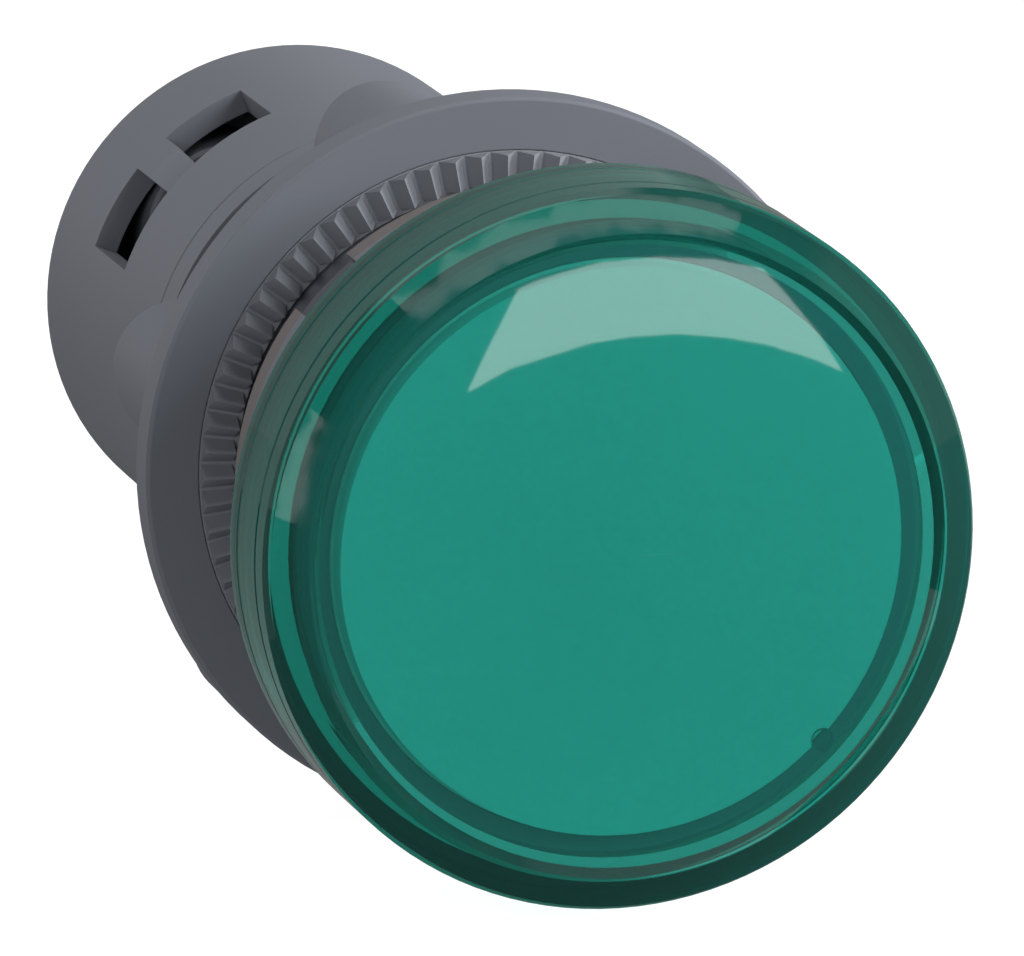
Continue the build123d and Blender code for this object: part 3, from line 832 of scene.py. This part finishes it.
dress("power_board", board_lacquer)

# %% [markdown]
# The LED board is white lacquer, with a ring track under the chips.

# %% The LED board
chip_size = 3.0 * mm
chip_ring_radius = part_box("led_chips")[1].x - 0.5 * chip_size
ring_track_width = 1.6 * mm


def around_axis(tree, place):
    """Distance from the axis, and the x and z that it comes from."""
    apart = tree.nodes.new("ShaderNodeSeparateXYZ")
    tree.links.new(place, apart.inputs[0])
    x, _, z = apart.outputs
    return distance(tree, x, z), x, z


board_white, tree, shader, place = start_material("board_white", 0.4)
around, x, z = around_axis(tree, place)
ring_track = band_mask(tree, around, chip_ring_radius, ring_track_width)
ring_color = two_tone(tree, ring_track, srgb(228, 228, 224), srgb(206, 210, 200))
tree.links.new(ring_color, shader.inputs["Base Color"])
dress("led_board", board_white)

# %% [markdown]
# Each LED chip is a white body with a round yellow window. One chip sits on the
# axis and six around it, so the angle is folded into one sixth of a turn first.

# %% The LED chips
chip_count = 6
window_radius = 1.1 * mm
chip_body, tree, shader, place = start_material("chip_body", 0.35)
around, x, z = around_axis(tree, place)
turn = math_node(tree, "ARCTAN2", z, x)
turn_step = 2 * pi / chip_count
folded = centred_modulo(tree, math_node(tree, "ADD", turn, 0.5 * turn_step), turn_step)
reach = math_node(tree, "MULTIPLY", around, math_node(tree, "COSINE", folded))
out = math_node(tree, "SUBTRACT", reach, chip_ring_radius)
over = math_node(tree, "MULTIPLY", around, math_node(tree, "SINE", folded))
nearest = math_node(tree, "MINIMUM", distance(tree, out, over), around)
window = math_node(tree, "LESS_THAN", nearest, window_radius)
chip_color = two_tone(tree, window, srgb(230, 230, 225), srgb(214, 186, 84))
tree.links.new(chip_color, shader.inputs["Base Color"])
dress("led_chips", chip_body)

# %% [markdown]
# The reflector is a glossy white moulding.

# %% The reflector
reflector_white = moulded_material(
    "reflector_white", srgb(230, 229, 225), roughness=0.25, drift=0.04, speckle=0.05
)
dress("reflector", reflector_white)

# %% [markdown]
# ## Light cards
#
# The sharp pale shapes on the lens are reflections of light cards in the studio.
# Each card is found the way a photographer would find it: a ray goes from the
# camera to a corner of the reflection, bounces off the lens, and is followed to
# the plane in which the card hangs. The cards show in reflections only, so they
# light nothing and hide nothing. The rays need the rim, the window and the
# shoulder of the lens, in the sizes of the CAD model.

# %% Follow rays off the lens
rim_inset = 1.56 * mm
rim_bevel = 0.34 * mm
dome_edge_radius = lens_radius - rim_inset - rim_bevel
dome_edge_y = front_y + 0.5 * mm
dome_rise = 0.2 * mm
shoulder_depth = 0.95 * mm
shoulder_inset = 0.2 * mm
cone_front_radius = lens_radius - rim_inset
cone_slope = (rim_inset - shoulder_inset) / shoulder_depth


def camera_ray(pixel):
    """Direction from the camera through a pixel of the photograph."""
    across = pixel[0] - 0.5 * image_width
    down = pixel[1] - 0.5 * image_height
    return (right * across - up * down - back * focal_in_pixels).normalized()


def bounce_off_dome(pixel):
    """Point on the lens's domed window, and the direction of the mirrored ray."""
    ray = camera_ray(pixel)
    radius = (dome_edge_radius ** 2 + dome_rise ** 2) / (2 * dome_rise)
    centre = Vector((0, dome_edge_y - dome_rise + radius, 0))
    to_camera = camera_place - centre
    half = to_camera.dot(ray)
    reach = -half - sqrt(half ** 2 - to_camera.length_squared + radius ** 2)
    point = camera_place + ray * reach
    normal = (point - centre) / radius
    return point, ray - 2 * ray.dot(normal) * normal


def bounce_off_shoulder(pixel):
    """Point on the lens's conical shoulder, and the direction of the mirrored ray."""
    ray = camera_ray(pixel)
    tip_radius = cone_front_radius + cone_slope * (camera_place.y - front_y)
    a = ray.x ** 2 + ray.z ** 2 - (cone_slope * ray.y) ** 2
    b = camera_place.x * ray.x + camera_place.z * ray.z - tip_radius * cone_slope * ray.y
    c = camera_place.x ** 2 + camera_place.z ** 2 - tip_radius ** 2
    roots = [(-b + sign * sqrt(b * b - a * c)) / a for sign in (-1, 1)]
    middle_y = front_y + 0.5 * shoulder_depth
    points = [camera_place + ray * root for root in roots]
    point = min(points, key=lambda p: abs(p.y - middle_y))
    around = sqrt(point.x ** 2 + point.z ** 2)
    normal = Vector((point.x / around, -cone_slope, point.z / around)).normalized()
    return point, ray - 2 * ray.dot(normal) * normal


# %% Hang the cards
window_patch = [
    (518, 289), (536, 281), (560, 273), (602, 262), (658, 257), (714, 260),
    (762, 270), (785, 293), (818, 332), (843, 372), (813, 359), (768, 345),
    (728, 338), (678, 334), (630, 337), (588, 344), (560, 353), (510, 369),
    (467, 393), (485, 354),
]
top_patch = [
    (393, 301), (449, 258), (500, 226), (560, 207), (602, 198), (644, 196),
    (686, 200), (720, 208), (734, 216), (740, 224), (738, 231), (731, 235),
    (700, 230), (658, 225), (616, 226), (588, 231), (560, 236), (500, 262),
    (449, 289), (410, 317),
]
side_patch = [
    (315, 411), (327, 421), (318, 438), (306, 474), (295, 525), (280, 516),
    (285, 479), (296, 446),
]


def card_material(name, strength):
    """A plain glow for a light card."""
    material = bpy.data.materials.new(name)
    material.use_nodes = True
    tree = material.node_tree
    glow = tree.nodes.new("ShaderNodeEmission")
    glow.inputs["Strength"].default_value = strength
    tree.links.new(glow.outputs["Emission"], tree.nodes["Material Output"].inputs["Surface"])
    return material


def show_in_reflections_only(stage_piece):
    """Hide a piece of the studio from everything but glossy rays."""
    for kind in ("camera", "diffuse", "transmission", "volume_scatter", "shadow"):
        setattr(stage_piece, "visible_" + kind, False)


def hang_card(name, patch, bounce, plane_point, plane_normal, strength):
    """A flat card that the lens mirrors into the patch of pixels."""
    corners = []
    for pixel in patch:
        point, direction = bounce(pixel)
        reach = (plane_point - point).dot(plane_normal) / direction.dot(plane_normal)
        corners.append(point + direction * reach)
    mesh = bpy.data.meshes.new(name)
    mesh.from_pydata(corners, [], [list(range(len(corners)))])
    mesh.materials.append(card_material(name, strength))
    card = bpy.data.objects.new(name, mesh)
    bpy.context.scene.collection.objects.link(card)
    show_in_reflections_only(card)
    print(name, "spans", [round(v / mm) for v in card.dimensions], "mm")


window_distance = 80 * mm
card_distance = 250 * mm
in_front = Vector((0, front_y - window_distance, 0))
above = Vector((0, 0, card_distance))
at_left = Vector((-card_distance, 0, 0))
upward, rightward = Vector((0, 0, 1)), Vector((1, 0, 0))
window_glow, top_glow, side_glow = 5.0, 1.5, 1.8
hang_card("window_card", window_patch, bounce_off_dome, in_front, axis, window_glow)
hang_card("top_card", top_patch, bounce_off_shoulder, above, upward, top_glow)
hang_card("side_card", side_patch, bounce_off_shoulder, at_left, rightward, side_glow)

# %% [markdown]
# ## Floor, sky and lamps
#
# The photograph has a pure white background. The sky and the floor are white to
# the camera, to reflections and through the lens. To other rays the sky is black
# and the floor only glows a little, so that the shading on the object comes from
# the lamps. The floor still takes the object's soft shadow.

# %% The sky
world = bpy.data.worlds.new("studio")
bpy.context.scene.world = world
world.use_nodes = True


def seen_directly(tree):
    """1 for a ray from the camera, off a glossy surface or through glass, otherwise 0."""
    path = tree.nodes.new("ShaderNodeLightPath")
    seen = math_node(tree, "MAXIMUM", path.outputs["Is Camera Ray"], path.outputs["Is Glossy Ray"])
    return math_node(tree, "MAXIMUM", seen, path.outputs["Is Transmission Ray"])


sky_tree = world.node_tree
sky = sky_tree.nodes["Background"]
sky.inputs["Color"].default_value = (1, 1, 1, 1)
sky_tree.links.new(seen_directly(sky_tree), sky.inputs["Strength"])

# %% [markdown]
# The lens and the satin plastic mirror a white tent around the set. Gaps in it
# show as darker reflections: one in front, up and to the left, where the camera
# and its operator stand, one on the left, one on the right, and a dimmer corner
# behind to the right. Straight behind the object the tent is dimmer too, which
# keeps the lens's skirt dark. Each gap lies between two distances along the axis,
# on one side of a plane, and takes away a share of the tent's light. Distances
# are in shares of the tent's radius.

# %% The light tent
tent_radius = 1.2
tent_subdivisions = 4
soft_edge = 0.06
tent_gaps = {
    "camera": {"between": (-0.76, -0.30), "side": (-0.45, 0.89), "beyond": 0.0, "share": 1.0},
    "left": {"between": (0.0, 0.42), "side": (-1.0, 0.0), "beyond": 0.6, "share": 0.8},
    "right": {"between": (-0.50, 0.12), "side": (1.0, 0.0), "beyond": 0.6, "share": 0.75},
    "rear_right": {"between": (0.40, 1.2), "side": (1.0, 0.0), "beyond": 0.3, "share": 0.92},
    "behind": {"between": (0.85, 1.2), "side": (0.0, 0.0), "beyond": -1.0, "share": 0.76},
}


def soft_step(tree, value, start):
    """0 before the start, 1 after it, with a smooth rise around it."""
    node = tree.nodes.new("ShaderNodeMapRange")
    node.interpolation_type = "SMOOTHSTEP"
    node.inputs["From Min"].default_value = (start - soft_edge) * tent_radius
    node.inputs["From Max"].default_value = (start + soft_edge) * tent_radius
    tree.links.new(value, node.inputs["Value"])
    return node.outputs["Result"]


tent_material = card_material("tent", 1.0)
tent_tree = tent_material.node_tree
tent_place = tent_tree.nodes.new("ShaderNodeTexCoord").outputs["Object"]
along_axis = measure(tent_tree, tent_place, axis)
covered = 0.0
for gap in tent_gaps.values():
    gap_start, gap_end = gap["between"]
    past_start = soft_step(tent_tree, along_axis, gap_start)
    past_end = soft_step(tent_tree, along_axis, gap_end)
    inside = math_node(tent_tree, "SUBTRACT", past_start, past_end)
    side_x, side_z = gap["side"]
    sideways = measure(tent_tree, tent_place, Vector((side_x, 0, side_z)))
    beyond = soft_step(tent_tree, sideways, gap["beyond"])
    inside = math_node(tent_tree, "MULTIPLY", inside, beyond)
    taken = math_node(tent_tree, "MULTIPLY", inside, gap["share"])
    covered = math_node(tent_tree, "MAXIMUM", taken, covered)
tent_strength = math_node(tent_tree, "SUBTRACT", 1.0, covered)
tent_tree.links.new(tent_strength, tent_tree.nodes["Emission"].inputs["Strength"])

tent_shape = bmesh.new()
bmesh.ops.create_icosphere(tent_shape, subdivisions=tent_subdivisions, radius=tent_radius)
tent_mesh = bpy.data.meshes.new("tent")
tent_shape.to_mesh(tent_mesh)
tent_shape.free()
tent_mesh.materials.append(tent_material)
tent = bpy.data.objects.new("tent", tent_mesh)
bpy.context.scene.collection.objects.link(tent)
show_in_reflections_only(tent)

# %% [markdown]
# A photographer lays dark sheets under a shiny object, so that it doesn't mirror
# the white floor. They show in reflections only, like the cards.

# %% The dark sheets
sheet_drop = 0.03 * mm
sheet_z = lowest_z - sheet_drop
sheets = {
    "front_sheet": {"glow": 0.07, "half_width": 1.25, "between": (-0.7, 0.0)},
    "rear_sheet": {"glow": 0.2, "half_width": 1.25, "between": (0.0, 1.25)},
}
for name, sheet in sheets.items():
    side, (start, end) = sheet["half_width"], sheet["between"]
    outline = [(-side, start), (side, start), (side, end), (-side, end)]
    sheet_corners = [(x, y, sheet_z) for x, y in outline]
    sheet_mesh = bpy.data.meshes.new(name)
    sheet_mesh.from_pydata(sheet_corners, [], [(0, 1, 2, 3)])
    sheet_mesh.materials.append(card_material(name, sheet["glow"]))
    dark_sheet = bpy.data.objects.new(name, sheet_mesh)
    bpy.context.scene.collection.objects.link(dark_sheet)
    show_in_reflections_only(dark_sheet)

# %% [markdown]
# The floor lies just under the sheets. Its own dim shade carries the shadow, and
# its glow brings it up to white where it is seen.

# %% The floor
floor_drop = 0.05 * mm
floor_half_size = 1.5
floor_roughness = 0.9
floor_shade = 0.2
floor_white = 0.94
floor_bounce = 0.25
floor_mesh = bpy.data.meshes.new("floor")
floor_z = lowest_z - floor_drop
floor_corners = [
    (x * floor_half_size, y * floor_half_size, floor_z)
    for x, y in ((-1, -1), (1, -1), (1, 1), (-1, 1))
]
floor_mesh.from_pydata(floor_corners, [], [(0, 1, 2, 3)])
floor = bpy.data.objects.new("floor", floor_mesh)
bpy.context.scene.collection.objects.link(floor)

floor_material = bpy.data.materials.new("floor_white")
floor_material.use_nodes = True
floor_tree = floor_material.node_tree
floor_shader = floor_tree.nodes["Principled BSDF"]
floor_shader.inputs["Base Color"].default_value = (floor_shade, floor_shade, floor_shade, 1)
floor_shader.inputs["Roughness"].default_value = floor_roughness
floor_shader.inputs["Specular IOR Level"].default_value = 0.0
floor_shader.inputs["Emission Color"].default_value = (1, 1, 1, 1)
floor_seen = seen_directly(floor_tree)
floor_gain = floor_white - floor_bounce
floor_glow = math_node(floor_tree, "MULTIPLY_ADD", floor_seen, floor_gain, floor_bounce)
floor_tree.links.new(floor_glow, floor_shader.inputs["Emission Strength"])
floor_mesh.materials.append(floor_material)

# %% [markdown]
# Five soft lamps light the set: a strong one from the right, the key light and a
# fill from the front, one from behind on the left for the rims, and one from
# above. They don't show in reflections or through the lens, because the tent and
# the cards stand for that.

# %% The lamps
bpy.context.scene.view_settings.view_transform = "Standard"
lamp_target = Vector((0, 0.005, 0))
lamp_size = 0.3
lamps = {
    "right_window": {"place": (0.6, -0.05, 0.15), "power": 4.6},
    "key": {"place": (0.3, -0.5, 0.27), "power": 3.3},
    "fill": {"place": (-0.35, -0.5, 0.2), "power": 1.15},
    "rear_rim": {"place": (-0.4, 0.35, 0.3), "power": 1.4},
    "top": {"place": (0.0, 0.02, 0.6), "power": 0.9},
}
for name, lamp in lamps.items():
    light = bpy.data.lights.new(name, "AREA")
    light.shape = "SQUARE"
    light.size = lamp_size
    light.energy = lamp["power"]
    lamp_object = bpy.data.objects.new(name, light)
    lamp_place = Vector(lamp["place"])
    lamp_turn = (lamp_target - lamp_place).to_track_quat("-Z", "Y").to_matrix().to_4x4()
    lamp_object.matrix_world = Matrix.Translation(lamp_place) @ lamp_turn
    bpy.context.scene.collection.objects.link(lamp_object)
    lamp_object.visible_glossy = False
    lamp_object.visible_transmission = False
